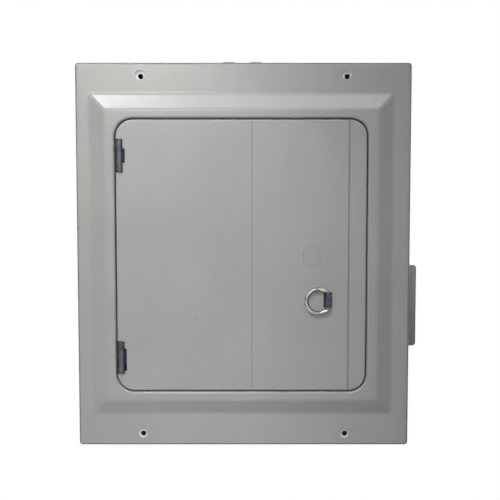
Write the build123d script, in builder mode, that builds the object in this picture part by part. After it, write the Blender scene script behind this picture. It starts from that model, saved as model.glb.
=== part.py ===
"""A surface distribution board: a folded steel box, its bevelled front cover with a hinged door,
the dead front behind the door, and the bus, bars and plug-in circuit breakers that it covers.

The board hangs on a wall. The origin is the middle of the box's back face, +Z is up and the front
faces -Y. A depth is a distance in front of the wall, so depth d is the plane y = -d. Millimetres.
"""

from build123d import *
import math
import os

# Box
box_width = 297.0
box_height = 344.0
box_depth = 92.0
box_sheet = 1.5
box_bend = 2.0
wall_hole_radius = 3.2
wall_hole_spacing_x = 220.0
wall_hole_spacing_z = 260.0
knockout_radii = (11.1, 14.2)
knockout_groove = 0.6
knockout_groove_depth = 0.7
knockout_depth = 44.0
end_knockout_pitch = 58.0
side_knockout_pitch = 150.0

# Cover screws and the tabs behind them. The tapped holes sit low in the cover's wide holes.
screw_inset_x = 59.0
screw_inset_z = 11.0
cover_hole_radius = 4.35
tab_width = 24.0
tab_sheet = 1.5
tab_set_back = 2.0
tapped_hole_radius = 2.45
tapped_hole_drop = 0.9
tapped_hole_side = 0.5
tapped_row_shift = 0.5

# Side flange that bears on the stud
flange_height = 76.6
flange_reach = 13.7
flange_leg = 22.0
flange_sheet = 1.5
flange_depth = 65.0
flange_centre_z = -49.0
flange_corner = 3.0

# Front cover: flat border, bevelled rise, flat inner frame and turned-in rim
cover_overhang = 4.0
cover_sheet = 1.2
cover_lip = 12.0
cover_corner = 3.0
cover_edge_bend = 2.4
panel_shift_x = -1.8
panel_shift_z = 1.0
bevel_run = 13.9
panel_rise = 7.0
panel_frame_x = 9.5
panel_frame_z = 8.3
bevel_bend = 8.0
bevel_bend_steps = 4
mitre_cut = 1.8
rim_depth = 12.0
rim_bend = 2.4
hook_width = 10.8
hook_rise = 1.4
hook_pitch = 24.4
hook_shift = -0.9
hook_gap = 0.2

# Door
opening_width = 229.4
opening_height = 249.8
opening_corner = 16.5
door_gap = 1.0
door_sheet = 1.2
door_proud = 0.4
door_return = 6.0
door_bend = 1.6
crease_inset = 16.0
centre_crease_inset = 104.2
crease_width = 1.6
crease_depth = 0.5
centre_crease_depth = 0.22
lock_inset = 49.7
lock_z = 0.7
lock_diameter = 18.8
lock_flats = 15.9
lock_groove = 0.7
lock_groove_depth = 0.3

# Hinges
hinge_z = 92.4
hinge_height = 28.0
hinge_from_rim = 4.5
hinge_axis_set_back = 0.2
barrel_radius = 2.7
pin_radius = 1.25
pin_clearance = 0.05
pin_head_radius = 1.8
pin_head_height = 0.8
leaf_sheet = 1.0
knuckle_gap = 0.25
middle_knuckle = 13.0
door_leaf_reach = 20.0
notch_clearance = 0.4
slot_reach = 1.9
slot_heights = {"upper": 13.6, "lower": 20.8}
slot_drops = {"upper": 0.0, "lower": 2.0}

# Latch: a spring strip whose arched strap holds the pull ring by its straight side
latch_inset = 35.0
ring_z = -39.85
ring_wire = 1.5
ring_radius = 10.9
ring_chord = 8.8
ring_lead = 18.0
ring_corner = 2.0
ring_gap = 0.25
strap_z = -38.9
strap_sheet = 0.7
strap_height = 13.4
strap_clearance = 1.15
latch_slot_clearance = 0.5
latch_foot = 9.0
latch_straight = 20.0
latch_fall = 7.4
latch_nose_radius = 1.2
latch_nose_gap = 0.35
rivet_radius = 1.6
rivet_head_radius = 2.6
rivet_head_height = 0.7
rivet_clearance = 0.05

# Dead front
dead_front_sheet = 1.2
dead_front_gap = 0.5
dead_front_lap = 7.0
dead_front_clearance = 0.1
dead_front_corner = 20.0
dead_front_rivet_z = 60.0
window_clearance = 0.4
twistout_groove = 0.5
twistout_groove_depth = 0.5

# Circuit breakers: four rows of two, with two more rows left behind twistouts
row_pitch = 25.4
row_count = 6
filled_rows = 4
breaker_width = 24.6
breaker_length = 74.0
breaker_inner = 2.0
breaker_base_depth = 20.0
breaker_shoulder = 52.0
breaker_nose_rise = 8.0
breaker_nose_start = 15.0
breaker_nose_length = 44.0
breaker_wire_end = 38.0
breaker_edge = 0.8
stab_slot_length = 14.5
stab_slot_height = 13.5
stab_slot_width = 2.8
hook_slot_length = 10.0
hook_slot_low = 4.3
hook_slot_high = 6.7
terminal_inset = 7.0
terminal_radius = 3.4
terminal_recess = 9.0

# Breaker handles
pivot_height = 46.0
hub_radius = 8.5
hub_clearance = 0.4
handle_width = 8.0
handle_side_clearance = 0.4
handle_thickness = 4.0
handle_reach = 24.0
handle_swing = 13.0
handle_round = 0.8

# Bus bars and their moulded support
bus_sheet = 2.0
bus_width = 10.0
bus_centre = 13.0
bus_depth = 12.0
stab_sheet = 1.6
stab_half_length = 13.0
stab_foot = 5.0
stab_lift = 3.0
stab_top_gap = 1.5
rib_half_width = 5.0
rib_height = 1.5
ledge_width = 10.0
ledge_clearance = 2.0
support_margin = 2.0

# Main lugs
lug_width = 12.0
lug_height = 20.0
lug_rise = 18.0
lug_start = 4.0
lug_bore_radius = 4.2
lug_bore_rise = 8.0
lug_screw_radius = 3.6
lug_screw_proud = 3.0
hex_across = 4.0

# Pan that carries the support and hooks the breakers
pan_sheet = 1.5
pan_margin = 6.0
pan_rail_clearance = 0.8
pan_lip_reach = 8.0
pan_screw_radius = 2.2
pan_screw_head_radius = 4.2
pan_screw_head_height = 2.2
pan_screw_x = 52.0
pan_screw_inset = 14.0

# Neutral and earth bars
bar_x = 112.0
neutral_length = 150.0
neutral_width = 12.0
neutral_thickness = 10.0
neutral_stand_off = 14.5
neutral_ways = 12
earth_length = 112.0
earth_width = 10.0
earth_thickness = 9.0
earth_stand_off = 6.5
earth_ways = 9
bar_way_radius = 2.1
bar_screw_radius = 2.2
bar_screw_head_radius = 3.1
bar_screw_head_height = 2.4
bar_fixing_radius = 1.9
stand_off_height = 12.0
stand_off_inset = 12.0
way_margin = 20.0
screw_clearance = 0.1
screw_tip = 0.3
strap_bar_width = 8.0
strap_bar_sheet = 1.2
strap_bar_foot = 13.0

# Depths and places that follow from the sizes above
cover_width = box_width + 2 * cover_overhang
cover_height = box_height + 2 * cover_overhang
screw_spacing_x = cover_width - 2 * screw_inset_x
screw_spacing_z = cover_height - 2 * screw_inset_z
tapped_spacing_z = screw_spacing_z - 2 * tapped_row_shift
cover_face = box_depth + cover_sheet
panel_face = cover_face + panel_rise
rim_back = panel_face - rim_depth
door_face = panel_face + door_proud
door_back = door_face - door_sheet
door_width = opening_width - 2 * door_gap
door_height = opening_height - 2 * door_gap
door_corner = opening_corner - door_gap
opening_left = panel_shift_x - opening_width / 2
opening_right = panel_shift_x + opening_width / 2
door_left = opening_left + door_gap
door_right = opening_right - door_gap
panel_base_width = opening_width + 2 * (panel_frame_x + bevel_run)
panel_base_height = opening_height + 2 * (panel_frame_z + bevel_run)
tab_face = cover_face - tab_set_back
lip_back = cover_face - cover_lip
hinge_x = opening_left + hinge_from_rim
hinge_depth = door_face - hinge_axis_set_back
latch_x = door_right - latch_inset
ring_depth = door_face + ring_gap + ring_wire
breaker_top = breaker_base_depth + breaker_shoulder
nose_top = breaker_top + breaker_nose_rise
dead_front_back = breaker_top + dead_front_gap
pivot_depth = breaker_base_depth + pivot_height
pan_depth = box_sheet
support_depth = pan_depth + pan_sheet
support_half_width = bus_centre + bus_width / 2 + ledge_clearance + ledge_width
bus_top = bus_depth + bus_sheet
rows_half = row_pitch * row_count / 2
row_z = [rows_half - row_pitch * (row + 0.5) for row in range(row_count)]
lug_low = rows_half + lug_start
lug_high = lug_low + lug_height
support_low = -rows_half - support_margin
support_high = lug_high + support_margin
pan_low = support_low - pan_margin
pan_high = support_high + pan_margin
rail_inner = breaker_inner + breaker_length + pan_rail_clearance
rail_outer = rail_inner + pan_sheet
pan_lip_depth = breaker_base_depth + (hook_slot_low + hook_slot_high - pan_sheet) / 2
handle_x = breaker_inner + breaker_nose_start + breaker_nose_length / 2
hinge_places = {"upper": hinge_z, "lower": -hinge_z}
outer_knuckle = (hinge_height - middle_knuckle) / 2 - knuckle_gap
strap_radius = ring_wire + strap_clearance + strap_sheet
strap_left = latch_x - strap_radius
dead_front_outer_x = opening_width / 2 + cover_sheet + dead_front_clearance + dead_front_sheet
dead_front_outer_z = opening_height / 2 + cover_sheet + dead_front_clearance + dead_front_sheet
dead_front_wall_top = rim_back + dead_front_lap
dead_front_rivet_depth = rim_back + dead_front_lap / 2
flange_rivet_depth = flange_depth - flange_leg / 2
pan_screws_at = [
    (x, z)
    for x in (-pan_screw_x, pan_screw_x)
    for z in (pan_low + pan_screw_inset, pan_high - pan_screw_inset)
]


def front(depth):
    """A plane parallel to the wall at a depth: sketches read (x, z), and extrusion goes to the front."""
    return Plane.XZ.offset(depth)


def level(z):
    """A level plane at a height: sketches read (x, depth)."""
    return Plane(origin=(0, 0, z), x_dir=(1, 0, 0), z_dir=(0, 0, -1))


def upright(x):
    """An upright plane square to the wall at x: sketches read (depth, z)."""
    return Plane(origin=(x, 0, 0), x_dir=(0, -1, 0), z_dir=(-1, 0, 0))


def block(x_range, depth_range, z_range):
    """Adds a straight-sided block to the part that is being built."""
    with BuildSketch(front(depth_range[0])) as outline:
        with Locations(((x_range[0] + x_range[1]) / 2, (z_range[0] + z_range[1]) / 2)):
            Rectangle(x_range[1] - x_range[0], z_range[1] - z_range[0])
    extrude(outline.sketch, amount=depth_range[1] - depth_range[0])


def save(piece, name):
    """Labels a finished piece and writes it under its name."""
    piece.part.label = name
    export_step(piece.part, f"parts/{name}.step")


def make_box():
    """The folded box: back and four walls, tabs for the cover's screws, and half-punched knockouts."""
    with BuildPart() as box:
        with BuildSketch(Plane.XZ):
            Rectangle(box_width, box_height)
        extrude(amount=box_depth)
        fillet(box.faces().sort_by(Axis.Y)[-1].edges(), box_bend)
        offset(amount=-box_sheet, openings=box.faces().sort_by(Axis.Y)[0])
        tab_outer = box_height / 2 - box_sheet
        tab_inner = screw_spacing_z / 2 - tab_width / 2
        for side in (-1, 1):
            middle = side * (tab_outer + tab_inner) / 2
            with BuildSketch(front(tab_face - tab_sheet)):
                with Locations((-screw_spacing_x / 2, middle), (screw_spacing_x / 2, middle)):
                    Rectangle(tab_width, tab_outer - tab_inner)
            extrude(amount=tab_sheet)
        with BuildSketch(front(tab_face - tab_sheet)):
            with Locations((tapped_hole_side, -tapped_hole_drop)):
                with GridLocations(screw_spacing_x, tapped_spacing_z, 2, 2):
                    Circle(tapped_hole_radius)
        extrude(amount=tab_sheet, mode=Mode.SUBTRACT)
        with BuildSketch(Plane.XZ):
            with GridLocations(wall_hole_spacing_x, wall_hole_spacing_z, 2, 2):
                Circle(wall_hole_radius)
        extrude(amount=box_sheet, mode=Mode.SUBTRACT)
        for side in (-1, 1):
            end_wall = Plane(origin=(0, 0, side * box_height / 2), x_dir=(1, 0, 0), z_dir=(0, 0, side))
            with BuildSketch(end_wall):
                with Locations((0, -side * knockout_depth)):
                    with GridLocations(end_knockout_pitch, 1, 3, 1):
                        knockout_rings()
            extrude(amount=-knockout_groove_depth, mode=Mode.SUBTRACT)
            side_wall = Plane(origin=(side * box_width / 2, 0, 0), x_dir=(0, 0, 1), z_dir=(side, 0, 0))
            with BuildSketch(side_wall):
                with Locations((0, side * knockout_depth)):
                    with GridLocations(side_knockout_pitch, 1, 2, 1):
                        knockout_rings()
            extrude(amount=-knockout_groove_depth, mode=Mode.SUBTRACT)
        for side in (-1, 1):
            middle = hook_shift + side * hook_pitch / 2
            block(
                (middle - hook_width / 2, middle + hook_width / 2),
                (lip_back - hook_gap - box_sheet, lip_back - hook_gap),
                (box_height / 2 - box_sheet, cover_height / 2 + hook_rise),
            )
        with BuildSketch(Plane.XZ):
            with Locations(*pan_screws_at):
                Circle(pan_screw_radius + screw_clearance)
            with Locations(*bar_fixings_at()):
                Circle(bar_fixing_radius + screw_clearance)
        extrude(amount=box_sheet, mode=Mode.SUBTRACT)
        with BuildSketch(Plane(origin=(box_width / 2 - box_sheet, 0, 0), x_dir=(0, 1, 0), z_dir=(1, 0, 0))):
            with Locations(*[(-flange_rivet_depth, z) for z in flange_rivets_at()]):
                Circle(rivet_radius + rivet_clearance)
        extrude(amount=box_sheet, mode=Mode.SUBTRACT)
    save(box, "enclosure_box")


def bar_fixings_at():
    """Where the screws that hold the two bars and the bonding strap go through the back."""
    places = []
    for side, length in ((-1, neutral_length), (1, earth_length)):
        for end in (-1, 1):
            places.append((side * bar_x, end * (length / 2 - stand_off_inset)))
    places.append((-bar_x, -neutral_length / 2 - strap_bar_foot / 2))
    return places


def flange_rivets_at():
    """The heights of the rivets that hold the side flange."""
    return [flange_centre_z - flange_height / 4, flange_centre_z + flange_height / 4]


def knockout_rings():
    """The rings of one half-punched knockout, in the sketch that is being drawn."""
    for radius in knockout_radii:
        Circle(radius + knockout_groove / 2)
        Circle(radius - knockout_groove / 2, mode=Mode.SUBTRACT)


def make_flange():
    """The angle on the right wall: one leg riveted to the box, the other standing out to bear on the stud."""
    leg_x = box_width / 2
    z_range = (flange_centre_z - flange_height / 2, flange_centre_z + flange_height / 2)
    with BuildPart() as flange:
        block((leg_x, leg_x + flange_sheet), (flange_depth - flange_leg, flange_depth), z_range)
        block((leg_x, leg_x + flange_reach), (flange_depth - flange_sheet, flange_depth), z_range)
        outer = flange.edges().filter_by(Axis.Y).group_by(Axis.X)[-1]
        fillet(outer, flange_corner)
        with BuildSketch(Plane(origin=(leg_x, 0, 0), x_dir=(0, 1, 0), z_dir=(1, 0, 0))):
            with Locations(*[(-flange_rivet_depth, z) for z in flange_rivets_at()]):
                Circle(rivet_radius + rivet_clearance)
        extrude(amount=flange_sheet, mode=Mode.SUBTRACT)
    save(flange, "stud_flange")
    with BuildPart() as rivets:
        inside = leg_x - box_sheet - rivet_head_height
        rivet_stack = rivet_head_height + box_sheet + flange_sheet
        for z in flange_rivets_at():
            for start, radius, length in (
                (inside, rivet_radius, rivet_stack + rivet_head_height),
                (inside, rivet_head_radius, rivet_head_height),
                (inside + rivet_stack, rivet_head_radius, rivet_head_height),
            ):
                with BuildSketch(Plane(origin=(start, 0, 0), x_dir=(0, 1, 0), z_dir=(1, 0, 0))):
                    with Locations((-flange_rivet_depth, z)):
                        Circle(radius)
                extrude(amount=length)
    save(rivets, "flange_rivets")


def make_pan():
    """The pan on the back: a plate with two rails whose lips hook into the breakers."""
    with BuildPart() as pan:
        block((-rail_outer, rail_outer), (pan_depth, support_depth), (pan_low, pan_high))
        for side in (-1, 1):
            rail = sorted((side * rail_inner, side * rail_outer))
            lip = sorted((side * (rail_inner - pan_lip_reach), side * rail_outer))
            block(rail, (pan_depth, pan_lip_depth + pan_sheet), (-rows_half, rows_half))
            block(lip, (pan_lip_depth, pan_lip_depth + pan_sheet), (-rows_half, rows_half))
        with BuildSketch(front(pan_depth)):
            with Locations(*pan_screws_at):
                Circle(pan_screw_radius + screw_clearance)
        extrude(amount=pan_sheet, mode=Mode.SUBTRACT)
        fillet(pan.edges().filter_by(Axis.Z).group_by(Axis.Y)[0], pan_sheet / 2)
    save(pan, "interior_pan")
    with BuildPart() as screws:
        with BuildSketch(front(screw_tip)):
            with Locations(*pan_screws_at):
                Circle(pan_screw_radius)
        extrude(amount=support_depth - screw_tip)
        with BuildSketch(front(support_depth)):
            with Locations(*pan_screws_at):
                Circle(pan_screw_head_radius)
        extrude(amount=pan_screw_head_height)
        fillet(screws.faces().filter_by(Axis.Y).group_by(Axis.Y)[0].edges(), pan_screw_head_height / 3)
        cross_recess(pan_screws_at, support_depth + pan_screw_head_height, pan_screw_head_radius)
    save(screws, "pan_screws")


def cross_recess(places, top, head_radius):
    """Cuts a cross recess into screw heads whose tops are at a depth."""
    with BuildSketch(front(top)) as cross:
        with Locations(*places):
            Rectangle(head_radius * 1.1, head_radius * 0.24)
            Rectangle(head_radius * 0.24, head_radius * 1.1)
    extrude(cross.sketch, amount=-head_radius * 0.32, mode=Mode.SUBTRACT)


def make_support():
    """The moulding under the bus bars: a floor, two ledges that carry the breakers and a middle rib."""
    with BuildPart() as support:
        block((-support_half_width, support_half_width), (support_depth, bus_depth), (support_low, support_high))
        ledge_inner = support_half_width - ledge_width
        for side in (-1, 1):
            ledge = sorted((side * ledge_inner, side * support_half_width))
            block(ledge, (support_depth, breaker_base_depth), (support_low, support_high))
        block((-rib_half_width, rib_half_width), (support_depth, bus_top + rib_height), (support_low, support_high))
        fillet(support.edges().filter_by(Axis.Y), 1.5)
    save(support, "bus_support")


def make_bus(side, name):
    """One bus bar with its stabs: every other row's stab springs from this bar and crosses the middle."""
    outer = side * (bus_centre + bus_width / 2)
    inner = side * (bus_centre - bus_width / 2)
    foot = sorted((inner, inner + side * stab_foot))
    stab_low = bus_top + stab_lift
    stab_high = breaker_base_depth + stab_slot_height - stab_top_gap
    with BuildPart() as bus:
        block(sorted((outer, inner)), (bus_depth, bus_top), (-rows_half, lug_high))
        for row, z in enumerate(row_z):
            if (row % 2 == 0) == (side < 0):
                z_range = (z - stab_sheet / 2, z + stab_sheet / 2)
                block(foot, (bus_depth, stab_low), z_range)
                block((-stab_half_length, stab_half_length), (stab_low, stab_high), z_range)
        stab_corners = bus.edges().filter_by(Axis.Z).group_by(Axis.Y)[0]
        fillet(stab_corners, 2.0)
    save(bus, name)


def make_lug(side, name):
    """A main lug on top of a bus bar: a drilled block with a hole for the clamping screw."""
    middle = side * bus_centre
    with BuildPart() as lug:
        x_range = (middle - lug_width / 2, middle + lug_width / 2)
        block(x_range, (bus_top, bus_top + lug_rise), (lug_low, lug_high))
        fillet(lug.edges().filter_by(Axis.Z).group_by(Axis.Y)[0], 2.0)
        with BuildSketch(Plane.XY.offset(lug_low)):
            with Locations((middle, -bus_top - lug_bore_rise)):
                Circle(lug_bore_radius)
        extrude(amount=lug_height, mode=Mode.SUBTRACT)
        with BuildSketch(front(bus_top + lug_bore_rise)):
            with Locations((middle, (lug_low + lug_high) / 2)):
                Circle(lug_screw_radius + screw_clearance)
        extrude(amount=lug_rise, mode=Mode.SUBTRACT)
    save(lug, name)


def make_lug_screws():
    """The two hexagon-socket screws of the main lugs."""
    places = [(side * bus_centre, (lug_low + lug_high) / 2) for side in (-1, 1)]
    top = bus_top + lug_rise + lug_screw_proud
    bottom = bus_top + lug_bore_rise + lug_bore_radius
    with BuildPart() as screws:
        with BuildSketch(front(bottom)):
            with Locations(*places):
                Circle(lug_screw_radius)
        extrude(amount=top - bottom)
        chamfer(screws.faces().filter_by(Axis.Y).group_by(Axis.Y)[0].edges(), 0.5)
        with BuildSketch(front(top)):
            with Locations(*places):
                RegularPolygon(hex_across / 2, 6, major_radius=False)
        extrude(amount=-hex_across, mode=Mode.SUBTRACT)
    save(screws, "main_lug_screws")


def way_places(x, length, ways):
    """The wire holes of a bar: evenly spaced between its two fixings."""
    pitch = (length - 2 * way_margin) / ways
    return [(x, pitch * (way + 0.5 - ways / 2)) for way in range(ways)]


def make_bar(x, length, width, thickness, base, ways, name):
    """A terminal bar with a wire hole and a screw hole at every way, and two fixing holes."""
    places = way_places(x, length, ways)
    fixings = [(x, end * (length / 2 - stand_off_inset)) for end in (-1, 1)]
    with BuildPart() as bar:
        block((x - width / 2, x + width / 2), (base, base + thickness), (-length / 2, length / 2))
        fillet(bar.edges().filter_by(Axis.Z), 0.8)
        with BuildSketch(Plane(origin=(x - width / 2, 0, 0), x_dir=(0, 1, 0), z_dir=(1, 0, 0))):
            with Locations(*[(-base - thickness * 0.4, z) for _, z in places]):
                Circle(bar_way_radius)
        extrude(amount=width, mode=Mode.SUBTRACT)
        with BuildSketch(front(base + thickness * 0.4)):
            with Locations(*places):
                Circle(bar_screw_radius + screw_clearance)
        extrude(amount=thickness, mode=Mode.SUBTRACT)
        with BuildSketch(front(base)):
            with Locations(*fixings):
                Circle(bar_fixing_radius + screw_clearance)
        extrude(amount=thickness, mode=Mode.SUBTRACT)
    save(bar, name)


def make_bar_screws(x, length, thickness, base, ways, name):
    """The clamping screws of a bar, run in until they just reach the wire holes."""
    places = way_places(x, length, ways)
    top = base + thickness
    with BuildPart() as screws:
        with BuildSketch(front(base + thickness * 0.4 + bar_way_radius)):
            with Locations(*places):
                Circle(bar_screw_radius)
        extrude(amount=thickness * 0.6 - bar_way_radius + screw_clearance)
        with BuildSketch(front(top + screw_clearance)):
            with Locations(*places):
                Circle(bar_screw_head_radius)
        extrude(amount=bar_screw_head_height)
        head_top = top + screw_clearance + bar_screw_head_height
        fillet(screws.faces().filter_by(Axis.Y).group_by(Axis.Y)[0].edges(), 0.5)
        with BuildSketch(front(head_top)):
            with Locations(*places):
                Rectangle(2.4 * bar_screw_head_radius, 0.9)
        extrude(amount=-1.1, mode=Mode.SUBTRACT)
    save(screws, name)


def make_stand_offs(x, length, width, stand_off, name):
    """The two blocks that carry a bar clear of the back."""
    base = box_sheet
    with BuildPart() as blocks:
        for end in (-1, 1):
            z = end * (length / 2 - stand_off_inset)
            z_range = (z - stand_off_height / 2, z + stand_off_height / 2)
            block((x - width / 2, x + width / 2), (base, base + stand_off), z_range)
        fillet(blocks.edges().filter_by(Axis.Y), 1.0)
        with BuildSketch(front(base)):
            with Locations(*[(x, end * (length / 2 - stand_off_inset)) for end in (-1, 1)]):
                Circle(bar_fixing_radius + screw_clearance)
        extrude(amount=stand_off, mode=Mode.SUBTRACT)
    save(blocks, name)


def make_fixing_screws(places, top, name):
    """Pan-head screws driven through a bar, or a strap, into the back."""
    with BuildPart() as screws:
        with BuildSketch(front(screw_tip)):
            with Locations(*places):
                Circle(bar_fixing_radius)
        extrude(amount=top - screw_tip)
        with BuildSketch(front(top)):
            with Locations(*places):
                Circle(bar_screw_head_radius)
        extrude(amount=bar_screw_head_height)
        fillet(screws.faces().filter_by(Axis.Y).group_by(Axis.Y)[0].edges(), 0.6)
        cross_recess(places, top + bar_screw_head_height, bar_screw_head_radius)
    save(screws, name)


def make_bars():
    """The neutral bar on its moulded stand-offs, the earth bar on its metal ones, and the bonding strap."""
    neutral_base = box_sheet + neutral_stand_off
    earth_base = box_sheet + earth_stand_off
    neutral_top = neutral_base + neutral_thickness
    earth_top = earth_base + earth_thickness
    make_stand_offs(-bar_x, neutral_length, neutral_width + 4, neutral_stand_off, "neutral_stand_offs")
    make_bar(
        -bar_x, neutral_length, neutral_width, neutral_thickness, neutral_base, neutral_ways, "neutral_bar"
    )
    make_bar_screws(
        -bar_x, neutral_length, neutral_thickness, neutral_base, neutral_ways, "neutral_bar_screws"
    )
    make_stand_offs(bar_x, earth_length, earth_width, earth_stand_off, "earth_stand_offs")
    make_bar(bar_x, earth_length, earth_width, earth_thickness, earth_base, earth_ways, "earth_bar")
    make_bar_screws(bar_x, earth_length, earth_thickness, earth_base, earth_ways, "earth_bar_screws")
    fixings = bar_fixings_at()
    make_fixing_screws(fixings[0:2], neutral_top, "neutral_fixing_screws")
    make_fixing_screws(fixings[2:4], earth_top, "earth_fixing_screws")
    make_fixing_screws(fixings[4:5], box_sheet + strap_bar_sheet, "bonding_screw")
    bar_end = -neutral_length / 2
    half = strap_bar_width / 2
    with BuildPart() as strap:
        block(
            (-bar_x - half, -bar_x + half),
            (box_sheet, neutral_top - 1),
            (bar_end - strap_bar_sheet, bar_end),
        )
        block(
            (-bar_x - half, -bar_x + half),
            (box_sheet, box_sheet + strap_bar_sheet),
            (bar_end - strap_bar_foot, bar_end),
        )
        with BuildSketch(front(box_sheet)):
            with Locations(fixings[4]):
                Circle(bar_fixing_radius + screw_clearance)
        extrude(amount=strap_bar_sheet, mode=Mode.SUBTRACT)
    save(strap, "bonding_strap")


def bevel_profile(inset):
    """The rise from the border to the inner frame, as pairs of run and rise, with a bend at each end."""
    angle = math.atan2(panel_rise, bevel_run)
    setback = bevel_bend * math.tan(angle / 2)
    turns = [angle * step / bevel_bend_steps for step in range(bevel_bend_steps + 1)]
    outer = bevel_bend + inset
    inner = bevel_bend - inset
    valley = [(outer * math.sin(turn) - setback, bevel_bend - outer * math.cos(turn)) for turn in turns]
    crest = [
        (bevel_run + setback - inner * math.sin(turn), panel_rise - bevel_bend + inner * math.cos(turn))
        for turn in reversed(turns)
    ]
    return valley + crest


def cover_form(inset):
    """The solid form of the cover, brought in by a distance: its outside, or the hollow in its sheet."""
    with BuildPart() as form:
        with BuildSketch(front(lip_back)):
            RectangleRounded(cover_width - 2 * inset, cover_height - 2 * inset, cover_corner - inset)
        extrude(amount=cover_lip - inset)
        fillet(form.faces().sort_by(Axis.Y)[0].edges(), cover_edge_bend - inset)
        for run, rise in bevel_profile(inset):
            with BuildSketch(front(cover_face + rise)) as section:
                with Locations((panel_shift_x, panel_shift_z)):
                    Rectangle(panel_base_width - 2 * run, panel_base_height - 2 * run)
                chamfer(section.vertices(), mitre_cut)
        loft(ruled=True)
    return form.part


def make_cover():
    """The pressed cover: lips, flat border, bevelled rise with mitred corners, and an opening with its rim."""
    form = cover_form(0)
    hollow = cover_form(cover_sheet)
    with BuildPart() as cover:
        add(form)
        add(hollow, mode=Mode.SUBTRACT)
        with BuildSketch(front(rim_back)):
            with Locations((panel_shift_x, panel_shift_z)):
                RectangleRounded(
                    opening_width + 2 * cover_sheet,
                    opening_height + 2 * cover_sheet,
                    opening_corner + cover_sheet,
                )
        extrude(amount=rim_depth)
        with BuildSketch(front(rim_back)):
            with Locations((panel_shift_x, panel_shift_z)):
                RectangleRounded(opening_width, opening_height, opening_corner)
        extrude(amount=rim_depth, mode=Mode.SUBTRACT)
        panel = cover.faces().filter_by(Axis.Y).sort_by(Axis.Y)[0]
        fillet(panel.inner_wires()[0].edges(), rim_bend)
        with BuildSketch(front(cover_face)):
            with GridLocations(screw_spacing_x, screw_spacing_z, 2, 2):
                Circle(cover_hole_radius)
        extrude(amount=-cover_sheet, mode=Mode.SUBTRACT)
        dead_front_rivet_holes(opening_width / 2, opening_width / 2 + cover_sheet)
    save(cover, "front_cover")


def dead_front_rivet_holes(start, end):
    """Cuts the rivet holes through the sheet between two distances from the opening's middle."""
    for side in (-1, 1):
        first = panel_shift_x + side * start
        with BuildSketch(Plane(origin=(first, 0, 0), x_dir=(0, 1, 0), z_dir=(side, 0, 0))) as holes:
            with Locations((-dead_front_rivet_depth, 0)):
                with GridLocations(1, 2 * dead_front_rivet_z, 1, 2):
                    Circle(rivet_radius + rivet_clearance)
        extrude(holes.sketch, amount=end - start, mode=Mode.SUBTRACT)


def breaker_window(side):
    """The x range of one column's window in the dead front."""
    near = breaker_inner + breaker_nose_start - window_clearance
    far = near + breaker_nose_length + 2 * window_clearance
    return sorted((side * near, side * far))


def make_dead_front():
    """The dead front: a tray riveted outside the cover's rim, with a window for each column of breakers."""
    plate_top = dead_front_back + dead_front_sheet
    filled_low = row_z[filled_rows - 1] - breaker_width / 2 - window_clearance
    filled_high = row_z[0] + breaker_width / 2 + window_clearance
    half_x = dead_front_outer_x
    half_z = dead_front_outer_z
    straight_x = half_x - dead_front_corner
    straight_z = half_z - dead_front_corner
    with BuildPart() as tray:
        with BuildSketch(front(dead_front_back)):
            with Locations((panel_shift_x, panel_shift_z)):
                Rectangle(2 * half_x, 2 * half_z)
                for x in (-half_x, half_x):
                    for z in (-half_z, half_z):
                        with Locations((x, z)):
                            Circle(dead_front_corner / 2, mode=Mode.SUBTRACT)
        extrude(amount=dead_front_sheet)
        for side in (-1, 1):
            wall = sorted((side * half_x, side * (half_x - dead_front_sheet)))
            block(
                [panel_shift_x + x for x in wall],
                (dead_front_back, dead_front_wall_top),
                (panel_shift_z - straight_z, panel_shift_z + straight_z),
            )
            wall = sorted((side * half_z, side * (half_z - dead_front_sheet)))
            block(
                (panel_shift_x - straight_x, panel_shift_x + straight_x),
                (dead_front_back, dead_front_wall_top),
                [panel_shift_z + z for z in wall],
            )
        back_edges = tray.edges().filter_by(GeomType.LINE).group_by(Axis.Y)[-1]
        bends = back_edges.filter_by(Axis.Z).group_by(Axis.X)
        bends = bends[0] + bends[-1] + back_edges.filter_by(Axis.X).group_by(Axis.Z)[0]
        fillet(bends + back_edges.filter_by(Axis.X).group_by(Axis.Z)[-1], dead_front_sheet * 0.8)
        for side in (-1, 1):
            x_range = breaker_window(side)
            middle = (x_range[0] + x_range[1]) / 2
            with BuildSketch(front(dead_front_back)):
                with Locations((middle, (filled_low + filled_high) / 2)):
                    Rectangle(x_range[1] - x_range[0], filled_high - filled_low)
            extrude(amount=dead_front_sheet, mode=Mode.SUBTRACT)
            with BuildSketch(front(plate_top)):
                for z in row_z[filled_rows:]:
                    with Locations((middle, z)):
                        width = x_range[1] - x_range[0] - 2
                        Rectangle(width, breaker_width - 2)
                        Rectangle(
                            width - 2 * twistout_groove,
                            breaker_width - 2 - 2 * twistout_groove,
                            mode=Mode.SUBTRACT,
                        )
                        Rectangle(width / 6, breaker_width, mode=Mode.SUBTRACT)
            extrude(amount=-twistout_groove_depth, mode=Mode.SUBTRACT)
        dead_front_rivet_holes(half_x - dead_front_sheet, half_x)
    save(tray, "dead_front")
    with BuildPart() as rivets:
        length = half_x - opening_width / 2
        for side in (-1, 1):
            inner = panel_shift_x + side * (opening_width / 2 - rivet_head_height)
            outer = panel_shift_x + side * half_x
            for start, radius, reach in (
                (inner, rivet_head_radius, rivet_head_height),
                (inner, rivet_radius, length + 2 * rivet_head_height),
                (outer, rivet_head_radius, rivet_head_height),
            ):
                with BuildSketch(Plane(origin=(start, 0, 0), x_dir=(0, 1, 0), z_dir=(side, 0, 0))):
                    with Locations((-dead_front_rivet_depth, 0)):
                        with GridLocations(1, 2 * dead_front_rivet_z, 1, 2):
                            Circle(radius)
                extrude(amount=reach)
    save(rivets, "dead_front_rivets")


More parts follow.
